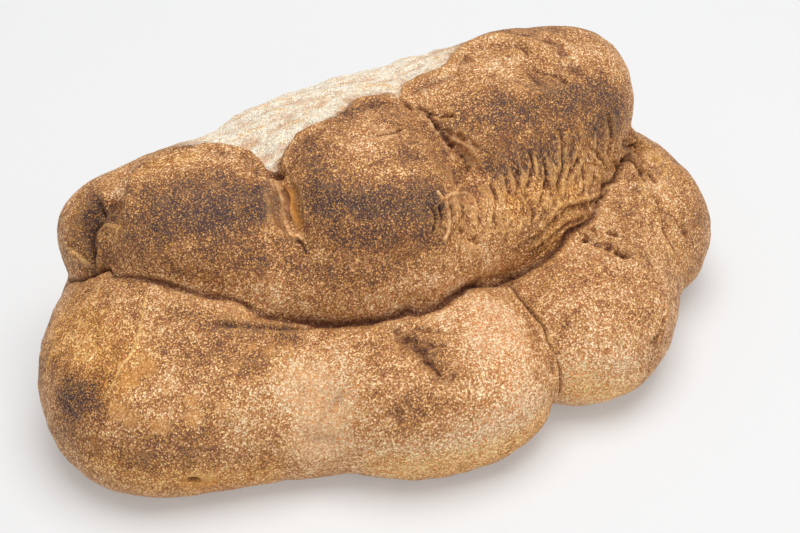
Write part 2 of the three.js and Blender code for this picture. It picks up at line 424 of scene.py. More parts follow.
# Wrinkles down the roll's right end, most with a raised lip, which the paint makes paler, partly golden
# crust and partly painted highlight
wrinkles = [
    dict(line=[(51, 9, 86), (50, 4, 77), (49, 0, 73), (46, -6, 70), (45, -12, 66)],
         wide=1.1, deep=1.9, lips=1.0, shade=0.6),
    dict(line=[(52, 8, 85), (51, 5, 78), (50, 1, 74)],
         wide=0.5, deep=-0.7, grow=1.3, fade=0.35, ragged=0.9, thread=0.9),
    dict(line=[(40, 5, 82), (40, 0, 76), (38, -5, 74), (36, -10, 72)],
         wide=1.0, deep=1.8, lips=0.8, ragged=0.9, shade=0.8),
    dict(line=[(41, 4, 81), (41, -1, 76), (40, -6, 73)],
         wide=0.5, deep=-0.6, grow=1.3, fade=0.35, ragged=0.9, thread=0.8),
    dict(line=[(34, -9, 72), (36, -16, 68), (35, -21, 62)],
         wide=1.0, deep=1.6, lips=0.8, ragged=0.9, shade=0.7),
    dict(line=[(57, 8, 76), (53, 2, 71), (50, -2, 70), (48, -8, 67)],
         wide=1.1, deep=1.7, lips=1.0, ragged=0.9, shade=0.5),
    dict(line=[(59, 8, 75), (64, 8, 64), (65, 8, 59)],
         wide=1.2, deep=1.8, lips=1.0, ragged=0.9, shade=0.5),
    dict(line=[(67, 18, 84), (68, 13, 72), (65, 8, 62)], wide=1.3, deep=2.2, lips=0.8, shade=0.6),
    dict(line=[(44, 2, 79), (43, -5, 72), (40, -12, 69), (38, -17, 66)],
         wide=1.0, deep=1.4, lips=0.8, ragged=0.9, shade=0.4),
    dict(line=[(55, 2, 71), (55, -5, 63), (52, -9, 62)],
         wide=1.1, deep=1.5, lips=1.0, ragged=0.9, shade=0.4),
    dict(line=[(60, 7, 70), (59, 1, 63), (57, -3, 61)],
         wide=1.1, deep=1.4, lips=1.0, ragged=0.9, shade=0.4),
    dict(line=[(48, -4, 70), (44, -12, 66), (41, -17, 64)], wide=0.9, deep=1.0, lips=0.8, thread=0.4),
    dict(line=[(71, 17, 70), (69, 13, 62), (72, 16, 54)], wide=1.4, deep=2.0, lips=0.7, shade=0.5),
    dict(line=[(32, 0, 77), (31, -8, 73), (28, -16, 69)], wide=1.0, deep=0.9, lips=0.5),
    dict(line=[(27, -3, 75), (26, -13, 71), (23, -21, 66)], wide=1.0, deep=1.0, lips=0.6),
    dict(line=[(22, -6, 75), (21, -15, 71), (18, -24, 67)], wide=1.0, deep=1.0, lips=0.6),
    dict(line=[(30, -13, 70), (28, -21, 64), (24, -26, 58)], wide=1.0, deep=0.9, lips=0.6),
    dict(line=[(62, 9, 70), (61, 4, 64), (60, 1, 60)], wide=0.8, deep=1.1, lips=0.8, thread=0.3),
    dict(line=[(46, 3, 78), (46, -3, 72), (44, -9, 68)],
         wide=0.5, deep=-0.6, grow=1.3, fade=0.35, ragged=0.9, thread=0.6),
    dict(line=[(62, 12, 80), (61, 8, 74), (59, 5, 69)],
         wide=0.5, deep=-0.7, grow=1.3, fade=0.35, ragged=0.9, thread=0.7),
    dict(line=[(36, 0, 78), (34, -6, 74), (32, -12, 71)],
         wide=0.8, deep=1.1, lips=0.6, ragged=0.8, shade=0.5),
    dict(line=[(25, -15, 70), (22, -20, 67), (20, -25, 62)],
         wide=0.5, deep=-0.5, grow=1.3, fade=0.35, ragged=0.9, thread=0.6),
    dict(line=[(33, -18, 66), (29, -23, 60)],
         wide=0.5, deep=-0.5, grow=1.3, fade=0.35, ragged=0.9, thread=0.6),
]

# Lines on the folds below the roll
lowerLines = [
    # the seam where the roll lies on the folds: thin at both ends, and deep in the middle
    dict(line=[(-84, 43, 52), (-81, 36, 46), (-77, 27, 52), (-75, 22, 57), (-72, 11, 60), (-69, 2, 63),
               (-63, -5, 63), (-59, -9, 60), (-54, -14, 57), (-48, -19, 55), (-41, -25, 52),
               (-32, -28, 48)],
         wide=1.1, deep=2.0, sink=6, fade=0.06, grow=1.2, shade=1.0),
    dict(line=[(-37, -27, 50), (-33, -30, 48), (-26, -32, 47), (-19, -35, 48), (-11, -46, 50),
               (-5, -40, 50), (1, -38, 50), (7, -38, 50), (11, -40, 49), (23, -28, 42)],
         wide=1.7, deep=2.6, sink=6, fade=0.1, grow=1.4, shade=1.1),
    dict(line=[(19, -32, 45), (23, -28, 42), (31, -26, 44), (37, -26, 47), (43, -21, 50), (51, -16, 53),
               (54, -12, 54), (65, 0, 53), (76, 22, 53)],
         wide=1.2, deep=2.0, sink=6, fade=0.06, grow=1.2, shade=1.0),
    # the flap of dough under the roll, on the right
    dict(line=[(67, 6, 54), (61, -2, 55), (55, -6, 57), (51, -10, 60), (47, -13, 62), (41, -18, 60),
               (37, -21, 58), (31, -24, 57), (27, -26, 55)],
         wide=0.8, deep=0.9, step=1.0, reach=5, fade=0.12, ragged=1.4, grow=1.2, shade=0.8),
    dict(line=[(60, -1, 57), (54, -5, 59), (50, -9, 62), (46, -12, 64), (41, -16, 62), (37, -20, 60),
               (31, -23, 59)],
         wide=0.6, deep=-0.3, grow=1.3, ragged=1.5, thread=0.6),
    dict(line=[(55, -10, 52), (47, -16, 55), (40, -21, 53), (33, -24, 51)],
         wide=0.9, deep=0.9, lips=0.5, shade=0.3),
    # the crease under the seam, and the valley that parts the front fold's bulges
    dict(line=[(-57, -25, 53), (-48, -31, 52), (-38, -34, 49), (-27, -34, 46)],
         wide=1.4, deep=1.0, lips=0.7, shade=0.5),
    dict(line=[(-57, -57, 46), (-50, -55, 47), (-42, -53, 46), (-35, -58, 43), (-33, -67, 40)],
         wide=2.2, deep=0.5, step=0.6, reach=9, fade=0.2),
    dict(line=[(-34, -57, 43), (-34, -69, 38), (-37, -76, 30), (-39, -78, 16)],
         wide=9, deep=2.6, fade=0.3),
    # the forked crease on the middle bulge
    dict(line=[(-11, -45, 49), (-8, -67, 49), (-3, -85, 44)], wide=8, deep=2.0),
    dict(line=[(-11, -46, 50), (-10, -57, 50), (-8, -64, 49), (-7, -73, 48), (-5, -80, 46),
               (-2, -86, 44)],
         wide=1.6, deep=0.9, lips=0.4, fade=0.08, ragged=0.9, grow=1.8, shade=0.6),
    dict(line=[(-9, -54, 50), (-7, -61, 50), (-3, -66, 49), (0, -69, 49)],
         wide=1.3, deep=0.6, lips=0.4, fade=0.25, ragged=0.9, grow=1.6, shade=0.4),
    dict(line=[(-7, -50, 50), (-3, -57, 50), (2, -62, 49)],
         wide=1.1, deep=0.4, lips=0.3, fade=0.25, ragged=0.9, shade=0.3),
    dict(line=[(-10, -57, 50), (-12, -64, 49), (-14, -69, 48)], wide=1.2, deep=0.6, lips=0.3, shade=0.3),
    dict(line=[(-19, -86, 39), (-19, -89, 36), (-19, -91, 34)], wide=2.4, deep=1.0, shade=0.4),
    # fine lines on the left bulge
    dict(line=[(-68, -3, 61), (-71, -12, 59), (-76, -27, 54), (-81, -34, 50), (-84, -39, 48),
               (-88, -43, 43)],
         wide=0.5, deep=-0.6, step=-0.25, reach=5, grow=1.3, fade=0.1, ragged=0.7, thread=1.0),
    dict(line=[(-91, 11, 44), (-94, 1, 42), (-97, -7, 37)],
         wide=0.8, deep=0.5, lips=0.4, grow=1.2, thread=0.6),
    # the thin crack between the middle bulge and the right fold, and its pale rim
    dict(line=[(23, -28, 42), (27, -34, 41), (29, -46, 42), (30, -54, 40), (30, -61, 38), (30, -68, 34),
               (29, -73, 27), (29, -74, 15)],
         wide=0.9, deep=2.0, lips=0.3, step=0.5, reach=5, fade=0.06, sink=3, shade=0.9),
    dict(line=[(28, -45, 42), (29, -55, 40), (29, -63, 36), (28, -72, 30), (26, -80, 27), (22, -87, 27)],
         wide=1.1, deep=-0.4, ragged=1.0, grow=0.9, thread=0.3),
    # rough ridges on the right fold
    dict(line=[(48, -21, 51), (52, -25, 51), (56, -32, 49), (60, -39, 46)],
         wide=1.8, deep=1.2, lips=0.9, ragged=1.2, shade=0.6),
    dict(line=[(50, -18, 52), (56, -22, 51), (62, -28, 48)],
         wide=1.3, deep=0.9, lips=0.8, ragged=1.3, shade=0.5),
    dict(line=[(45, -22, 50), (47, -35, 49), (50, -42, 48)], wide=3.0, deep=-0.8, ragged=0.5),
    dict(line=[(64, -57, 36), (63, -64, 32), (59, -72, 29), (55, -76, 30)],
         wide=1.2, deep=0.7, lips=0.5, shade=0.3, ragged=0.6),
    # the crease before the rough end, and its torn lumps
    dict(line=[(76, 10, 53), (77, 1, 51), (77, -6, 49), (77, -13, 47), (76, -21, 43), (77, -27, 36),
               (79, -29, 23), (82, -24, 12)],
         wide=1.0, deep=1.6, step=1.4, reach=7, fade=0.06, ragged=0.7, shade=0.7),
    dict(line=[(75, 8, 53), (75, -6, 50), (75, -14, 47), (74, -22, 43), (75, -29, 36), (77, -31, 26)],
         wide=1.3, deep=-0.7, ragged=1.3, grow=1.2, thread=0.45),
    dict(line=[(74, 20, 65), (79, 32, 53), (80, 25, 53), (79, 16, 53)],
         wide=1.7, deep=1.9, lips=1.1, ragged=1.2, shade=0.8),
    dict(line=[(72, 18, 59), (76, 20, 54), (77, 14, 53), (77, 5, 52)],
         wide=1.4, deep=1.6, lips=1.0, ragged=1.2, shade=0.8),
    dict(line=[(82, 32, 53), (84, 24, 53), (84, 14, 51), (83, 4, 50)],
         wide=1.4, deep=-0.8, ragged=1.2, grow=1.2, thread=0.3),
    dict(line=[(77, 22, 66), (83, 35, 52), (87, 31, 50)],
         wide=1.6, deep=1.2, lips=0.9, ragged=1.2, shade=0.6),
    dict(line=[(79, -12, 47), (81, -18, 42), (83, -20, 36)],
         wide=1.4, deep=0.6, lips=0.6, ragged=1.3, shade=0.3),
    dict(line=[(79, 34, 53), (82, 27, 53), (83, 20, 52)],
         wide=1.1, deep=1.3, lips=0.9, ragged=1.3, shade=0.7),
    dict(line=[(76, 16, 53), (79, 10, 52), (80, 3, 51)],
         wide=1.1, deep=1.2, lips=0.9, ragged=1.3, shade=0.6),
    dict(line=[(81, 20, 53), (84, 16, 52), (86, 8, 50)],
         wide=1.1, deep=1.1, lips=0.9, ragged=1.3, shade=0.6),
    dict(line=[(76, 28, 62), (80, 36, 56), (84, 40, 52)],
         wide=1.2, deep=1.0, lips=0.9, ragged=1.3, shade=0.5),
    # creases on the far side
    dict(line=[(-50, 88, 40), (-38, 94, 34), (-30, 95, 24)],
         wide=3.4, deep=1.1, lips=0.2, ragged=0.5, shade=0.3),
    dict(line=[(30, 96, 48), (38, 97, 36), (42, 96, 22)],
         wide=4.4, deep=1.3, lips=0.2, ragged=0.5, shade=0.3),
    dict(line=[(4, 97, 40), (10, 98, 30), (12, 97, 16)],
         wide=2.8, deep=0.7, lips=0.2, ragged=0.8, shade=0.2),
    # little breaks at the foot
    dict(line=[(-54, -69, 3), (-52, -68, 4), (-51, -70, 6)], wide=1.2, deep=1.5, shade=0.7),
    dict(line=[(-72, -71, 18), (-70, -71, 17), (-68, -72, 16)], wide=1.1, deep=2.2, fade=0.4, shade=1.1),
    dict(line=[(-72, -71, 20), (-68, -72, 19), (-64, -72, 17)], wide=2.2, deep=-0.5, thread=0.5),
]

# How brown the crust is baked, from 0, pale, to 1, dark: value, width in mm and places, laid in turn
bakedPlain = 0.36
bakedDabs = [
    # the roll is browner than the folds, and its underside and top paler than its front
    (0.60, 52, [(-70, 30, 78), (-40, 20, 80), (0, 10, 82), (50, 25, 84)]),
    (0.88, 14, [(-78, 36, 73)]),
    (0.66, 12, [(-78, 27, 60)]),
    (0.34, 10, [(-71, 26, 72)]),
    (0.80, 26, [(-60, 12, 84), (-45, 8, 86)]),
    (0.28, 17, [(-62, 40, 87), (-50, 38, 91), (-38, 34, 90)]),
    (0.90, 12, [(-62, 9, 86), (-52, 3, 87), (-42, 2, 86), (-34, 6, 84)]),
    (0.88, 9, [(-37, 10, 88), (-35, 3, 85)]),
    (0.60, 14, [(-67, 1, 71), (-54, -10, 73), (-41, -12, 72)]),
    (0.36, 10, [(-69, 4, 62), (-58, -10, 60), (-47, -19, 55)]),
    (0.52, 10, [(-29, -16, 72)]),
    # middle knuckle
    (0.62, 16, [(-20, 15, 95)]),
    (0.66, 8, [(-11, 32, 97), (0, 40, 96), (9, 36, 94)]),
    (0.28, 19, [(-6, 10, 98), (0, 14, 98)]),
    (0.48, 14, [(10, 8, 92)]),
    (0.92, 18, [(-22, -10, 89), (-12, -20, 89), (0, -24, 87), (5, -22, 86)]),
    (0.74, 16, [(-20, -23, 80), (-8, -30, 79), (2, -31, 76)]),
    (0.56, 12, [(-31, -21, 67), (-19, -31, 68), (-6, -34, 67)]),
    (0.30, 12, [(-38, -25, 57), (-22, -34, 54), (-7, -37, 54), (8, -35, 54), (21, -28, 54)]),
    (0.52, 12, [(19, 8, 80), (20, -5, 76)]),
    # right knuckle
    (0.28, 22, [(22, 47, 96), (42, 46, 100)]),
    (0.34, 18, [(62, 52, 99), (74, 38, 92)]),
    (0.74, 11, [(26, 24, 95), (33, 18, 94), (43, 15, 93)]),
    (0.78, 15, [(54, 18, 93), (60, 20, 92)]),
    (0.84, 17, [(68, 23, 90), (73, 20, 81), (64, 12, 79)]),
    (0.76, 20, [(34, 2, 80), (48, 0, 78)]),
    (0.46, 13, [(18, -20, 68), (29, -20, 66), (42, -15, 64), (53, -8, 61)]),
    (0.56, 8, [(35, -21, 50), (44, -18, 50), (55, -11, 53)]),
    # the saddle and the dark pit between the small end and the left knuckle
    (0.16, 9, [(-63, 50, 83), (-67, 42, 84), (-70, 38, 82)]),
    (0.95, 9, [(-75, 40, 77), (-73, 33, 77)]),
    (0.80, 9, [(-80, 36, 66), (-79, 30, 62)]),
    # front fold; its valley and low front are painted paler, partly paler crust and partly painted light in
    # the valley's hollow and on faces that turn down
    (0.34, 20, [(-88, 8, 45), (-87, -14, 49)]),
    (0.68, 11, [(-72, 4, 54), (-62, -17, 54), (-50, -33, 52), (-37, -38, 48)]),
    (0.50, 22, [(-62, -38, 50), (-48, -45, 48)]),
    (0.90, 21, [(-93, -34, 40)]),
    (0.70, 11, [(-89, -45, 40)]),
    (0.56, 19, [(-80, -65, 32), (-68, -69, 32)]),
    (0.30, 13, [(-73, -48, 48), (-66, -54, 46)]),
    (0.30, 14, [(-52, -62, 43), (-44, -66, 40)]),
    (-0.15, 24, [(-38, -63, 41), (-35, -70, 37), (-37, -76, 26)]),
    (0.14, 13, [(-25, -60, 45)]),
    (0.70, 11, [(-8, -58, 50), (-6, -72, 48)]),
    (0.46, 13, [(-16, -87, 39), (-10, -92, 34)]),
    (0.00, 30, [(14, -58, 46), (13, -80, 40)]),
    (0.04, 12, [(4, -51, 50), (12, -52, 49)]),
    (0.02, 22, [(4, -100, 22), (-24, -90, 18)]),
    (0.00, 18, [(20, -94, 24), (2, -99, 30)]),
    # right fold and rough end
    (0.62, 9, [(50, -22, 51), (58, -32, 48)]),
    (0.24, 18, [(50, -30, 49), (56, -22, 50)]),
    (0.34, 18, [(47, -58, 42), (62, -52, 38)]),
    # paler low on the right fold: partly paler crust, partly painted light where it faces down
    (-0.10, 22, [(36, -74, 24), (40, -78, 14), (46, -72, 26)]),
    (0.32, 14, [(83, 30, 54), (76, 2, 51)]),
    (0.64, 9, [(75, 22, 62), (78, 20, 54)]),
    (0.46, 18, [(88, -5, 42), (86, -22, 30)]),
    (0.44, 26, [(92, 20, 46), (90, 0, 36)]),
]

# How golden it is, from -1, rosy, to 1, yellow: value, width and places
goldDabs = [
    (1.0, 32, [(-88, 8, 45), (-87, -14, 49), (-82, -30, 48)]),
    (0.9, 18, [(-91, -54, 24), (-70, -72, 16), (-52, -74, 14)]),
    (0.6, 24, [(-78, 30, 84), (-84, 40, 76)]),
    (0.8, 12, [(-62, 40, 87), (-50, 38, 91)]),
    (1.0, 20, [(36, -76, 20), (48, -74, 14)]),
    (1.0, 20, [(-24, -92, 14), (0, -99, 14), (22, -91, 16)]),
    (0.9, 16, [(83, 32, 54), (90, 10, 40)]),
    (0.8, 16, [(30, -12, 68), (50, -6, 63), (40, -19, 52)]),
    (-0.8, 28, [(14, -58, 46), (12, -85, 38)]),
    (-0.5, 20, [(-14, -66, 46)]),
    (0.0, 24, [(-38, -64, 40), (-36, -74, 28)]),
    (-0.7, 16, [(-20, -24, 80), (0, -30, 76)]),
    (-0.5, 20, [(48, -45, 45)]),
]

# Smooth blisters: width and places
blisters = [
    (9, [(-80, -41, 49)]), (8, [(-75, -39, 52)]), (8, [(-85, -49, 42)]), (7, [(-82, -54, 41)]),
    (7, [(-76, -61, 39)]), (7, [(-68, -63, 41)]), (6, [(-67, -58, 45)]), (6, [(-60, -62, 42)]),
    (5, [(-48, -42, 51)]), (5, [(-44, -46, 50)]), (5, [(-39, -44, 48)]), (5, [(-72, -50, 47)]),
    (7, [(-72, -71, 15), (-66, -72, 14)]),
]

# Torn, rough dough: how much, width and places
tornPatches = [
    (0.45, 9, [(20, 16, 88), (24, 10, 85)]),
    (0.35, 7, [(14, -15, 79), (20, -8, 76)]),
    (0.25, 7, [(-32, 8, 86), (-33, -4, 80)]),
    (0.20, 14, [(76, 22, 56), (82, 24, 53), (80, 4, 52)]),
    # peach crumb in the front fold's valley, which also paints the hollow paler, as painted light
    (0.50, 20, [(-37, -63, 41), (-35, -71, 36), (-37, -76, 26)]),
]


# Rounds off the rough solid, spares its seams, and pulls the parts that are pulled.
def soften(skin):
    findBlur, measureBlur, _ = crustSkin["seamBlur"]
    seams = smoothStep(*crustSkin["seam"], skin.hollow(findBlur))
    for _ in range(crustSkin["seamReach"]):
        seams = np.maximum(seams, skin.around(seams))
    skin.ease(*crustSkin["soften"], (1 - seams)[:, None])
    skin.ease(*crustSkin["even"])
    skin.settle()
    for wide, way, places in pulls:
        skin.points += touch(skin, places, wide)[:, None] * np.array(way)
    skin.settle()
    skin.seamDepth = skin.hollow(measureBlur)


# Makes the mesh finer near every thin line, and gives its new skin.
def finerSkin(skin, mesh):
    laid = []
    for row in rollLines + wrinkles + lowerLines:
        if row["wide"] < crustSkin["thin"]:
            line = curveThrough(row["line"], crustSkin["creaseGap"])
            laid.append(laidOn(skin, line, row.get("sink", 0))[0])
    creases = np.concatenate(laid)
    tree = KDTree(len(creases))
    for number, crease in enumerate(creases):
        tree.insert(Vector(crease) * mm, number)
    tree.balance()
    for reach in crustSkin["refine"]:
        refined(mesh, tree, reach)
    skin = Skin(mesh)
    skin.seamDepth = skin.hollow(crustSkin["seamBlur"][2])
    return skin


def swell(skin):
    given = crustSkin["swell"] * smoothStep(*crustSkin["swellSeam"], skin.seamDepth)
    given *= smoothStep(*crustSkin["swellFoot"], skin.points[:, 2])
    skin.points += skin.normals * given[:, None]
    skin.settle()


def drawLines(skin):
    for row in rollLines + lowerLines:
        draw(skin, crustSkin["lineDepth"], **row)
    for row in wrinkles:
        draw(skin, crustSkin["wrinkleDepth"], **row)
    skin.ease(*crustSkin["easeLines"])
    skin.settle()


# The floury, ridged back behind the knuckles' back edges. What is ragged wanders by noise, given as mm
# wide, a shift, and how far.
flouryBack = {
    # those edges: how far across the loaf they stand, in percent, for how far along it
    "rimAlong": [-60, -45, -40, -34, -29, -25, -20, -13, -4, 1, 6, 11, 15, 20, 26, 30, 36, 44, 60],
    "rimAcross": [58, 50, 45, 40, 22, 27, 32, 36, 42, 48, 47, 43, 54, 56, 55, 60, 70, 86, 120],
    "edge": (-1.0, 2.5),     # mm behind them where the flour begins, and is full
    "edgeRagged": (5, 0, 2.5),
    "leftEnd": (-92, -66),   # mm along the loaf, the same
    "rightEnd": (96, 34),
    "rightRagged": [(26, 0, 24), (7, 2, 12)],
    "foot": (34, 88),        # mm above the floor, the same
    "footRagged": [(30, 8, 20), (8, 4, 12)],
    "slope": (0.2, 0.6),     # how far up the skin faces, the same
    "slopeRagged": (12, 0, 0.15),
    "steep": 0.2,            # added to that, so that a steep back is floury too
    "ridges": (22, 5.5, 9),  # mm between the ridges along, across and up
    "height": 1.5,           # mm
}


def flourBack(skin):
    x, y, z = skin.points.T
    alongRim = np.array(flouryBack["rimAlong"]) * boxHalf.x / mm / 100
    acrossRim = np.array(flouryBack["rimAcross"]) * boxHalf.y / mm / 100
    behind = y - np.interp(x, alongRim, acrossRim) + grains(skin, flouryBack["edgeRagged"])
    facing = skin.normals[:, 2] + flouryBack["steep"] + grains(skin, flouryBack["slopeRagged"])
    ends = smoothStep(*flouryBack["leftEnd"], x) * smoothStep(*flouryBack["slope"], facing)
    ends *= smoothStep(*flouryBack["rightEnd"], x + grains(skin, *flouryBack["rightRagged"]))
    ends *= smoothStep(*flouryBack["foot"], z + grains(skin, *flouryBack["footRagged"]))
    floury = smoothStep(*flouryBack["edge"], behind) * ends
    ridges = flouryBack["ridges"]
    ridged = grains(skin, (ridges, 0, 1), (tuple(size / 2 for size in ridges), 5, 0.5))
    skin.points += skin.normals * (floury * ridged * flouryBack["height"])[:, None]
    skin.mark("flour")[:] = floury
    skin.mark("crest")[:] = ridged * ends


# The uneven surface: fine pleats where the dough stretched at the right end, and lumps all over. Noises
# are given as mm wide, a shift, and a height.
unevenness = {
    "stretched": (30, [(20, -14, 72), (32, -8, 72), (45, -2, 72), (58, 4, 70)]),  # mm wide, and the places
    "pleats": [((3.0, 15, 19), 0, 1), ((1.8, 8, 11), 7, 0.7)],
    "pleatHeight": 0.6,      # mm
    "lumps": [(30, 0, 0.7), (11, 3, 0.45), (5, 9, 0.22)],
}


def roughen(skin):
    wide, places = unevenness["stretched"]
    stretched = touch(skin, places, wide)
    skin.mark("stretch")[:] = stretched
    pleats = grains(skin, *unevenness["pleats"]) * unevenness["pleatHeight"]
    skin.points += skin.normals * (stretched * pleats)[:, None]
    skin.points += skin.normals * grains(skin, *unevenness["lumps"])[:, None]
    skin.points[:, 2] = np.maximum(skin.points[:, 2], 0)
    skin.settle()


# The paint: soft patches away from the fold's opening, a pale foot, painted shade in creases and hollows
# where the crust is also a little browner, and pale lips, partly golden crust and partly painted highlight
paint = {
    "awaySide": (-0.1, 0.6),  # how far the skin faces away where its patches begin, and are full
    "awayPatches": [(48, 4, 0.24), (20, 6, 0.14)],  # noises, as above
    "awayBrown": 0.08,
    "foot": (26, 4),         # mm above the floor where the crust begins to pale, and is palest
    "footPale": 0.10,
    "around": 14,            # rounds of blur that hollows are measured against
    "narrow": 24,            # rounds of blur that part a crease from a broad hollow
    "crease": (0.12, 0.8),   # mm deep where painted shade in a crease begins, with the crust a little browner there, and is full
    "hollow": (0.4, 2.2),    # the same for a broad hollow
    "hollowShadeShare": 0.4,
    "lip": (0.08, 0.45),     # mm high where a lip begins to pale with gold and painted highlight, and is full
    "lipPlain": 0.35,        # a lip's share outside the stretched dough
}


def bakeSkin(skin):
    baked = skin.mark("bake", bakedPlain)
    for value, wide, places in bakedDabs:
        baked += (value - baked) * touch(skin, places, wide)
    awaySide = smoothStep(*paint["awaySide"], skin.normals[:, 1])
    baked += awaySide * (grains(skin, *paint["awayPatches"]) + paint["awayBrown"])
    baked -= smoothStep(*paint["foot"], skin.points[:, 2]) * paint["footPale"]


def paintSkin(skin):
    gold = skin.mark("gold")
    for value, wide, places in goldDabs:
        gold += (value - gold) * touch(skin, places, wide)
    # painted shade in creases and broad hollows, and pale lips with painted highlight on ridges
    hollow = skin.hollow(paint["around"])
    crease = hollow - skin.blur(hollow, paint["narrow"])
    broadHollowShade = smoothStep(*paint["hollow"], hollow) * paint["hollowShadeShare"]
    skin.mark("creaseBrownAndShade")[:] = np.maximum(smoothStep(*paint["crease"], crease), broadHollowShade)
    share = paint["lipPlain"] + (1 - paint["lipPlain"]) * skin.mark("stretch")
    skin.mark("lip")[:] = smoothStep(*paint["lip"], -crease) * share
    blistered = skin.mark("blister")
    for wide, places in blisters:
        blistered[:] = np.maximum(blistered, touch(skin, places, wide))
    torn = skin.mark("split")
    for value, wide, places in tornPatches:
        torn[:] = np.maximum(torn, value * touch(skin, places, wide))


def storeMarks(skin):
    for face in skin.mesh.polygons:
        face.use_smooth = True
    for name, values in skin.marks.items():
        attribute = skin.mesh.attributes.new(name, "FLOAT", "POINT")
        attribute.data.foreach_set("value", values.astype(np.float32))


print("crust: remeshing the solid")
loafCrust = roughCrust()
skin = Skin(loafCrust.data)
soften(skin)

print("crust: finer skin round the creases")
skin = finerSkin(skin, loafCrust.data)
print("crust:", skin.count, "points,", sum(len(face) - 2 for face in skin.faces), "triangles")

print("crust: drawing", len(rollLines) + len(wrinkles) + len(lowerLines), "lines")
swell(skin)
drawLines(skin)

print("crust: uneven surface")
flourBack(skin)
roughen(skin)

print("crust: painting", len(bakedDabs) + len(goldDabs), "dabs")
bakeSkin(skin)
paintSkin(skin)
storeMarks(skin)


# A colour as a screen gives it, from 0 to 255, made linear for the material.
def fromScreen(red, green, blue):
    shares = [value / 255 for value in (red, green, blue)]
    return tuple(v / 12.92 if v <= 0.04045 else ((v + 0.055) / 1.055) ** 2.4 for v in shares) + (1,)


# The crust's material
crustLook = {
    # the two tones of the speckled crust as it bakes, from pale to dark
    "ground": [(0.0, (238, 162, 101)), (0.25, (201, 130, 77)), (0.5, (147, 93, 58)),
               (0.75, (99, 66, 54)), (1.0, (68, 46, 46))],
    "specks": [(0.0, (255, 230, 190)), (0.25, (250, 206, 150)), (0.5, (233, 174, 108)),
               (0.75, (210, 153, 90)), (1.0, (190, 140, 84))],
    "bakedMore": 0.05,       # added to how baked the skin's points say they are
    "mottles": [(13, 0.7), (4.5, 0.5), (1.8, 0.45)],  # mm wide, and how much each varies the bake
    "bakeSpan": (0.1, 1.0),  # pale and dark crust
    "speckSize": 0.78,       # mm from speck to speck
    "speckWide": (0.60, 0.40),  # share of that which a speck covers, on pale and on dark crust
    "speckUneven": (0.75, 1.3),  # the narrowest and the widest speck, times that share
    "speckSoft": (0.14, -0.16),  # how far out and in from its edge a speck fades
    "speckBend": (0.6, 0.8),  # how crooked it is: mm of the noise, and mm that it moves
    "speckBake": 0.5,        # how much its own tone changes its bake
    "speckTone": 0.45,       # the tone that leaves it alone
    "speckBright": (0.76, 1.18),
    "speckHue": (0.485, 0.503),
    "speckCover": 0.96,
    "stretchedSpeck": (1.0, 0.45, 0.3),  # specks along, across and up where the dough stretched
    "stretchedSize": 0.8,    # times the speck's size
    "stretchedBend": (0.7, 0.7),
    # noises: mm wide, how many finer ones are laid on, and how strong they are
    "grit": (0.9, 2.0, 0.7),
    "crumb": (1.6, 3.0, 0.65),
    "dust": (0.42, 1.0, 0.6),
    "streak": (1.2, 2.0, 0.6),
    "blisterEdge": (2.6, 2.0, 0.6),
    "flourStreak": (2.0, 4.0, 0.75),
    "flourPatch": (1.6, 2.0, 0.6),
    # worn spots, and patches in the lips' painted highlight: the noise where they are thinnest and where
    # nothing is worn, and the share left at least
    "stripWorn": (0.3, 0.6, 0.6),
    "lipWorn": (0.3, 0.6, 0.4),
    "flourWorn": (0.25, 0.5, 0.85),
    "splitWorn": (0.2, 0.5, 0.6),
    "threadWorn": (0.25, 0.55, 0.5),
    "gritSpan": (0.3, 0.7),  # the darkest and the brightest grit
    "gritBake": 0.9,         # how much grit changes the ground's bake
    "gritBright": (0.84, 1.14),
    "pinSize": 0.6,          # mm between the finest glints, which are painted
    "dot": (0.42, 0.12),     # share of that from its middle where a glint or pore begins, and is full
    "pins": (0.62, 0.7),     # the cells that are painted glints, partly pale crumbs
    "pinBright": 0.55,
    "pores": (0.3, 0.2),     # the cells that are pores
    "poreBright": -0.4,
    "dustSpan": (0.25, 0.75),
    "dustBright": (0.66, 1.24),
    "fineSpan": (0.6, 1.3),  # the darkest and the brightest fine grain
    "saturation": (1.22, 0.92),  # of the darkest and the brightest grains
    "yellow": (1.06, 0.98, 0.74, 1),
    "rosy": (1.04, 0.97, 0.93, 1),
    "blister": (244, 182, 114),
    "blisterCover": 0.36,
    "blisterRagged": 1.6,    # how much noise there is in its edge
    "blisterSpan": (0.2, 0.75),
    "blisterMost": 0.3,      # the mark from which that edge is drawn in full
    "blisterSmooth": 0.3,    # share of the specks that it hides
    "strip": (206, 142, 72),
    "stripCover": 0.9,
    "stripDrawn": (1, 1, 0.3),  # its streaks are drawn out upwards
    "stripEven": 0.6,        # share of the fine grain that it hides
    "stripFlat": 0.8,        # share of the bumps that it hides
    "lip": (238, 178, 108),
    "lipCover": 0.62,        # of a lip's gold and painted highlight, as the other covers are of what they are named for
    "flour": (255, 243, 220),
    "flourShade": (244, 202, 152),
    # the flour's hollows: painted shade over golden crust
    "flourHollowShade": (228, 162, 100),
    "flourBright": (0.8, 1.22),
    "flourDrawn": (0.4, 1, 1),  # its streaks are drawn out along the loaf
    "flourCrest": 0.14,      # how much barer its ridges' crests are
    "flourBare": (0.48, 0.70),
    "flourHollowShadeShare": 0.6,        # share of the painted hollow shade in them
    "split": (254, 206, 146),
    "splitShade": (212, 138, 78),
    "splitSpan": (0.35, 0.65),
    "thread": (255, 204, 124),
    "creaseBrownAndShade": (0.31, 0.20, 0.17, 1),  # what painted shade in creases and hollows leaves of the colour, the crust being a little browner there too
    "creaseShadeCover": (0.75, 0.6),  # how much of that shows, and how much less where there is flour
    "creaseShadeTorn": 0.75,        # share of it that torn dough and threads take away
    "roughness": (0.7, 0.5),  # of the ground and of the specks
    "gloss": 0.5,
    "speckHeight": 0.32,     # mm
    "crumbHeight": 2.2,      # times that
}


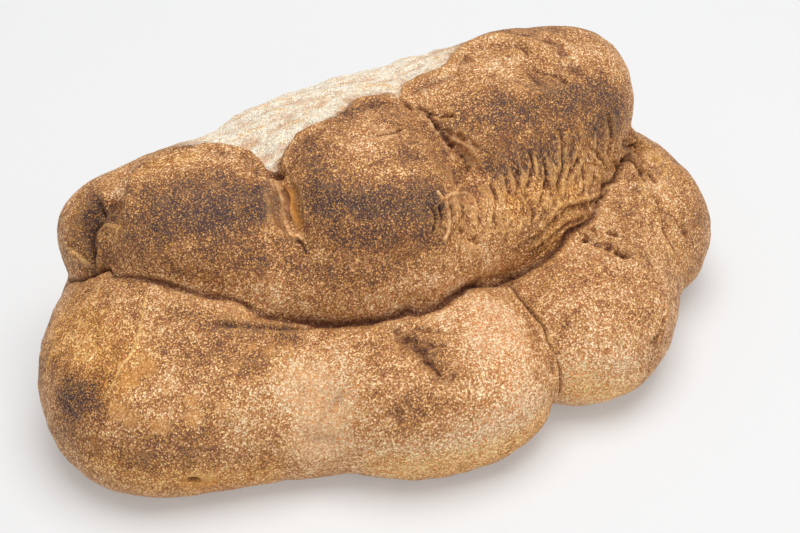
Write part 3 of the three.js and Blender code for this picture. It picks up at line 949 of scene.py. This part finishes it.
class Look:
    def __init__(self, name):
        self.material = bpy.data.materials.new(name)
        self.material.use_nodes = True
        self.nodes = self.material.node_tree.nodes
        self.links = self.material.node_tree.links
        self.shader = self.nodes["Principled BSDF"]

    def put(self, socket, value):
        if isinstance(value, bpy.types.NodeSocket):
            self.links.new(value, socket)
        else:
            socket.default_value = value

    def attribute(self, name):
        node = self.nodes.new("ShaderNodeAttribute")
        node.attribute_name = name
        return node.outputs["Fac"]

    def place(self, scale=(1, 1, 1)):  # in mm, and drawn out along what is scaled below 1
        node = self.nodes.new("ShaderNodeTexCoord")
        mapping = self.nodes.new("ShaderNodeMapping")
        mapping.inputs["Scale"].default_value = [share / mm for share in scale]
        self.links.new(node.outputs["Object"], mapping.inputs["Vector"])
        return mapping.outputs["Vector"]

    def noise(self, place, size, detail=2.0, rough=0.6):
        node = self.nodes.new("ShaderNodeTexNoise")
        self.put(node.inputs["Vector"], place)
        node.inputs["Scale"].default_value = 1 / size
        node.inputs["Detail"].default_value = detail
        node.inputs["Roughness"].default_value = rough
        return node.outputs["Fac"]

    def ramp(self, amount, stops):
        node = self.nodes.new("ShaderNodeValToRGB")
        self.put(node.inputs["Fac"], amount)
        places = node.color_ramp.elements
        while len(places) < len(stops):
            places.new(0.5)
        for place, (position, colour) in zip(places, stops):
            place.position = position
            place.color = fromScreen(*colour)
        return node.outputs["Color"]

    def span(self, amount, low, high, start=0.0, stop=1.0):  # from start at low to stop at high
        node = self.nodes.new("ShaderNodeMapRange")
        node.interpolation_type = "SMOOTHSTEP"
        self.put(node.inputs["Value"], amount)
        self.put(node.inputs["From Min"], low)
        self.put(node.inputs["From Max"], high)
        self.put(node.inputs["To Min"], start)
        self.put(node.inputs["To Max"], stop)
        return node.outputs["Result"]

    def times(self, first, second):
        return self.math("MULTIPLY", first, second)

    def math(self, operation, *values):
        node = self.nodes.new("ShaderNodeMath")
        node.operation = operation
        for socket, value in zip(node.inputs, values):
            self.put(socket, value)
        return node.outputs["Value"]

    def cells(self, place, size):  # how far the nearest cell's middle is, and two numbers of its own
        node = self.nodes.new("ShaderNodeTexVoronoi")
        self.put(node.inputs["Vector"], place)
        node.inputs["Scale"].default_value = 1 / size
        parts = self.nodes.new("ShaderNodeSeparateColor")
        self.links.new(node.outputs["Color"], parts.inputs["Color"])
        return node.outputs["Distance"], parts.outputs[0], parts.outputs[1]

    def swing(self, amount):  # noise taken from round its middle, so it is below 0 as often as above
        return self.math("SUBTRACT", amount, 0.5)

    def wander(self, place, size, far):  # the place, moved about by noise
        node = self.nodes.new("ShaderNodeTexNoise")
        self.put(node.inputs["Vector"], place)
        node.inputs["Scale"].default_value = 1 / size
        node.inputs["Detail"].default_value = 1
        shift = self.nodes.new("ShaderNodeVectorMath")
        shift.operation = "MULTIPLY_ADD"
        self.links.new(node.outputs["Color"], shift.inputs[0])
        shift.inputs[1].default_value = (far, far, far)
        self.links.new(place, shift.inputs[2])
        return shift.outputs["Vector"]

    def bright(self, colour, value, hue=0.5, saturation=1.0):  # times as bright, and shifted in hue
        node = self.nodes.new("ShaderNodeHueSaturation")
        self.put(node.inputs["Saturation"], saturation)
        self.put(node.inputs["Color"], colour)
        self.put(node.inputs["Value"], value)
        self.put(node.inputs["Hue"], hue)
        return node.outputs["Color"]

    def mix(self, amount, first, second, blend="MIX"):
        node = self.nodes.new("ShaderNodeMix")
        node.data_type = "RGBA"
        node.blend_type = blend
        self.put(node.inputs["Factor"], amount)
        self.put(node.inputs[6], first)
        self.put(node.inputs[7], second)
        return node.outputs[2]


# How baked the crust is here, uneven at several sizes.
def mottledBake(look, place):
    bake = look.math("ADD", look.attribute("bake"), crustLook["bakedMore"])
    for size, amount in crustLook["mottles"]:
        mottle = look.swing(look.noise(place, size))
        bake = look.math("MULTIPLY_ADD", mottle, amount, bake)
    return bake


# Pale specks, drawn out upwards where the dough stretched: where they are, and each one's tone and tint.
def speckPattern(look, place, bake):
    crooked = look.wander(place, *crustLook["speckBend"])
    drawnOut = look.wander(look.place(crustLook["stretchedSpeck"]), *crustLook["stretchedBend"])
    away, tone, tint = look.cells(crooked, crustLook["speckSize"])
    awayLong, toneLong, _ = look.cells(drawnOut, crustLook["speckSize"] * crustLook["stretchedSize"])
    stretch = look.attribute("stretch")
    away = look.mix(stretch, away, awayLong)
    tone = look.mix(stretch, tone, toneLong)
    share = look.span(bake, *crustLook["bakeSpan"], *crustLook["speckWide"])
    wide = look.times(share, look.span(tint, 0, 1, *crustLook["speckUneven"]))
    outer, inner = [look.math("ADD", wide, soft) for soft in crustLook["speckSoft"]]
    return look.span(away, outer, inner), tone, tint


# Smooth blisters, and the smooth skin in the cut, where the specks melt into the ground.
def smoothParts(look, place):
    blister = look.attribute("blister")
    ragged = look.swing(look.noise(place, *crustLook["blisterEdge"]))
    edge = look.math("MULTIPLY_ADD", ragged, crustLook["blisterRagged"], blister)
    inside = look.span(blister, 0, crustLook["blisterMost"])
    blister = look.times(look.span(edge, *crustLook["blisterSpan"]), inside)
    streak = look.noise(look.place(crustLook["stripDrawn"]), *crustLook["streak"])
    streaked = look.times(look.attribute("strip"), look.span(streak, *crustLook["stripWorn"]))
    return blister, look.math("MINIMUM", streaked, 1.0)


# The specks' and the ground's colours, each grain baked a little more or less than the next.
def speckledColour(look, bake, specks, tone, tint, grit):
    darker = look.math("SUBTRACT", crustLook["speckTone"], tone)
    bakeSpeck = look.math("MULTIPLY_ADD", darker, crustLook["speckBake"], bake)
    speckColour = look.bright(
        look.ramp(bakeSpeck, crustLook["specks"]),
        look.span(tone, 0, 1, *crustLook["speckBright"]),
        look.span(tint, 0, 1, *crustLook["speckHue"]),
    )
    bakeGround = look.math("MULTIPLY_ADD", look.math("SUBTRACT", 0.5, grit), crustLook["gritBake"], bake)
    gritBright = look.span(grit, *crustLook["gritSpan"], *crustLook["gritBright"])
    ground = look.bright(look.ramp(bakeGround, crustLook["ground"]), gritBright)
    return look.mix(look.times(specks, crustLook["speckCover"]), ground, speckColour)


# How bright the finest grains are, with painted glints, partly pale crumbs, and pores among them.
def fineGrain(look, place, strip):
    dust = look.noise(place, *crustLook["dust"])
    away, tone, _ = look.cells(place, crustLook["pinSize"])
    dot = look.span(away, *crustLook["dot"])
    # painted glints: bright pin-points that stand in for sparkles of light
    pin = look.times(dot, look.span(tone, *crustLook["pins"]))
    pore = look.times(dot, look.span(tone, *crustLook["pores"]))
    dusty = look.span(dust, *crustLook["dustSpan"], *crustLook["dustBright"])
    fine = look.math("MULTIPLY_ADD", pin, crustLook["pinBright"], dusty)
    fine = look.math("MULTIPLY_ADD", pore, crustLook["poreBright"], fine)
    even = (1.0, 1.0, 1.0, 1)
    return look.mix(look.times(strip, crustLook["stripEven"]), fine, even)


# Flour, worn off its ridges, with painted shade in its hollows over golden crust: its colour and how much
# of it there is.
def flourLayer(look, place, grit, fine):
    streaks = look.noise(look.place(crustLook["flourDrawn"]), *crustLook["flourStreak"])
    bare = look.math("MULTIPLY_ADD", look.attribute("crest"), crustLook["flourCrest"], streaks)
    flour, shade, hollow = [fromScreen(*crustLook[name]) for name in ("flour", "flourShade", "flourHollowShade")]
    colour = look.mix(look.span(bare, *crustLook["flourBare"]), flour, shade)
    colour = look.mix(look.times(look.attribute("creaseBrownAndShade"), crustLook["flourHollowShadeShare"]), colour, hollow)
    gritty = look.span(grit, *crustLook["gritSpan"], *crustLook["flourBright"])
    colour = look.bright(colour, look.times(gritty, fine))
    thick = look.span(look.noise(place, *crustLook["flourPatch"]), *crustLook["flourWorn"])
    return colour, look.times(look.attribute("flour"), thick)


# Torn dough, peach and rough, and golden threads of it.
def tornLayer(look, colour, crumb, grit):
    shade, light = [fromScreen(*crustLook[name]) for name in ("splitShade", "split")]
    peach = look.mix(look.span(crumb, *crustLook["splitSpan"]), shade, light)
    torn = look.times(look.attribute("split"), look.span(crumb, *crustLook["splitWorn"]))
    colour = look.mix(look.math("MINIMUM", torn, 1.0), colour, peach)
    thread = look.times(look.attribute("thread"), look.span(grit, *crustLook["threadWorn"]))
    colour = look.mix(look.math("MINIMUM", thread, 1.0), colour, fromScreen(*crustLook["thread"]))
    return colour, thread


# Painted shade in creases and hollows, where the crust is also a little browner, less under flour and where
# torn dough and threads stand in them; the shade marks drawn along lines darken the same way.
def creased(look, colour, flour, thread):
    cover, lessFlour = crustLook["creaseShadeCover"]
    cover = look.math("SUBTRACT", cover, look.times(flour, lessFlour))
    creaseBrownAndShade = look.times(look.attribute("creaseBrownAndShade"), cover)
    bright = look.math("MINIMUM", look.math("ADD", look.attribute("split"), thread), 1.0)
    creaseBrownAndShade = look.times(creaseBrownAndShade, look.math("SUBTRACT", 1.0, look.times(bright, crustLook["creaseShadeTorn"])))
    creaseBrownAndShade = look.math("MAXIMUM", creaseBrownAndShade, look.attribute("shade"))
    return look.mix(look.math("MINIMUM", creaseBrownAndShade, 1.0), colour, crustLook["creaseBrownAndShade"], "MULTIPLY")


def crustBump(look, crumb, specks, strip):
    height = look.math("MULTIPLY_ADD", crumb, crustLook["crumbHeight"], specks)
    height = look.times(height, look.math("SUBTRACT", 1.0, look.times(strip, crustLook["stripFlat"])))
    bump = look.nodes.new("ShaderNodeBump")
    bump.inputs["Strength"].default_value = 1.0
    bump.inputs["Distance"].default_value = crustLook["speckHeight"] * mm
    look.put(bump.inputs["Height"], height)
    return bump.outputs["Normal"]


def bakedCrust():
    look = Look("bakedCrust")
    place = look.place()
    bake = mottledBake(look, place)
    grit = look.noise(place, *crustLook["grit"])
    crumb = look.noise(place, *crustLook["crumb"])
    specks, tone, tint = speckPattern(look, place, bake)
    blister, strip = smoothParts(look, place)
    smooth = look.math("MAXIMUM", look.times(blister, crustLook["blisterSmooth"]), strip)
    specks = look.times(specks, look.math("SUBTRACT", 1.0, smooth))
    colour = speckledColour(look, bake, specks, tone, tint, grit)
    blisterCover = look.times(blister, crustLook["blisterCover"])
    colour = look.mix(blisterCover, colour, fromScreen(*crustLook["blister"]))
    colour = look.mix(look.times(strip, crustLook["stripCover"]), colour, fromScreen(*crustLook["strip"]))
    gold = look.attribute("gold")
    colour = look.mix(look.span(gold, 0, 1), colour, crustLook["yellow"], "MULTIPLY")
    colour = look.mix(look.span(gold, 0, -1), colour, crustLook["rosy"], "MULTIPLY")
    fine = fineGrain(look, place, strip)
    saturation = look.span(fine, *crustLook["fineSpan"], *crustLook["saturation"])
    colour = look.bright(colour, fine, saturation=saturation)
    # Paler lips on ridges: golden crust, partly painted highlight
    patchyLipHighlight = look.times(look.attribute("lip"), look.span(grit, *crustLook["lipWorn"]))
    colour = look.mix(look.times(patchyLipHighlight, crustLook["lipCover"]), colour, fromScreen(*crustLook["lip"]))
    flourColour, flour = flourLayer(look, place, grit, fine)
    colour = look.mix(flour, colour, flourColour)
    colour, thread = tornLayer(look, colour, crumb, grit)
    colour = creased(look, colour, flour, thread)
    look.put(look.shader.inputs["Base Color"], colour)
    look.put(look.shader.inputs["Roughness"], look.span(specks, 0, 1, *crustLook["roughness"]))
    look.shader.inputs["Specular IOR Level"].default_value = crustLook["gloss"]
    look.put(look.shader.inputs["Normal"], crustBump(look, crumb, specks, strip))
    return look.material


print("crust: material")
loafCrust.data.materials.append(bakedCrust())
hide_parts("loaf")
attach(loafCrust, "root")

# The studio: soft light from above, and a pale light table
studio = {
    "azimuth": -21,          # degrees round the loaf from its front
    "elevation": 38,
    "distance": 0.92,        # metres, as all here but the lens and the sensor
    "lens": 90,              # mm
    "sensor": 36,
    "farthest": 50,
    "aim": (0.0006, -0.00665, 0.055),
    "skyStrength": 0.46,
    "keyPower": 20,          # watts
    "keySize": 1.4,
    "keyPlace": (0.12, 0.05, 1.5),
    "fillPower": 1.3,
    "fillSize": 0.5,
    "fillPlace": (0.42, -0.85, 0.22),
    "tableGlow": 0.24,       # how brightly the table is lit from below
    "tableShade": 0.56,
    "tableCool": (1, 1.005, 1.01),
    "tableRough": 0.9,
    "tableGloss": 0.1,
    "tableSize": 6,
    "lampsAim": (0, 0, 0.05),
}


def addCamera():
    data = bpy.data.cameras.new("camera")
    data.lens = studio["lens"]
    data.sensor_width = studio["sensor"]
    data.clip_end = studio["farthest"]
    camera = bpy.data.objects.new("camera", data)
    bpy.context.scene.collection.objects.link(camera)
    turn = math.radians(studio["azimuth"])
    tilt = math.radians(studio["elevation"])
    back = Vector((math.sin(turn) * math.cos(tilt), -math.cos(turn) * math.cos(tilt), math.sin(tilt)))
    camera.location = Vector(studio["aim"]) + back * studio["distance"]
    camera.rotation_euler = (-back).to_track_quat("-Z", "Y").to_euler()
    bpy.context.scene.camera = camera


def addTable():
    made = bmesh.new()
    bmesh.ops.create_grid(made, x_segments=1, y_segments=1, size=studio["tableSize"])
    mesh = bpy.data.meshes.new("lightTable")
    made.to_mesh(mesh)
    made.free()
    table = bpy.data.objects.new("lightTable", mesh)
    bpy.context.scene.collection.objects.link(table)
    acrylic = bpy.data.materials.new("whiteAcrylic")
    acrylic.use_nodes = True
    shader = acrylic.node_tree.nodes["Principled BSDF"]
    shade = [studio["tableShade"] * share for share in studio["tableCool"]]
    shader.inputs["Base Color"].default_value = (*shade, 1)
    shader.inputs["Emission Color"].default_value = (1, 1, 1, 1)
    shader.inputs["Emission Strength"].default_value = studio["tableGlow"]
    shader.inputs["Roughness"].default_value = studio["tableRough"]
    shader.inputs["Specular IOR Level"].default_value = studio["tableGloss"]
    mesh.materials.append(acrylic)
    table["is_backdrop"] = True


def addLights():
    world = bpy.data.worlds.new("studio")
    bpy.context.scene.world = world
    world.use_nodes = True
    sky = world.node_tree.nodes["Background"]
    sky.inputs["Color"].default_value = (1, 1, 1, 1)
    sky.inputs["Strength"].default_value = studio["skyStrength"]
    for name in ("key", "fill"):
        lamp = bpy.data.lights.new(name, "AREA")
        lamp.shape = "DISK"
        lamp.size = studio[name + "Size"]
        lamp.energy = studio[name + "Power"]
        light = bpy.data.objects.new(name, lamp)
        bpy.context.scene.collection.objects.link(light)
        light.location = studio[name + "Place"]
        way = Vector(studio["lampsAim"]) - light.location
        light.rotation_euler = way.to_track_quat("-Z", "Y").to_euler()


print("studio: camera, table and lamps")
addCamera()
addTable()
addLights()
bpy.context.scene.view_settings.view_transform = "Standard"

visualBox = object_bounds()
for name, box in (("CAD", cadBox), ("visual", visualBox)):
    print(name, "box", [tuple(round(value, 4) for value in corner) for corner in box])
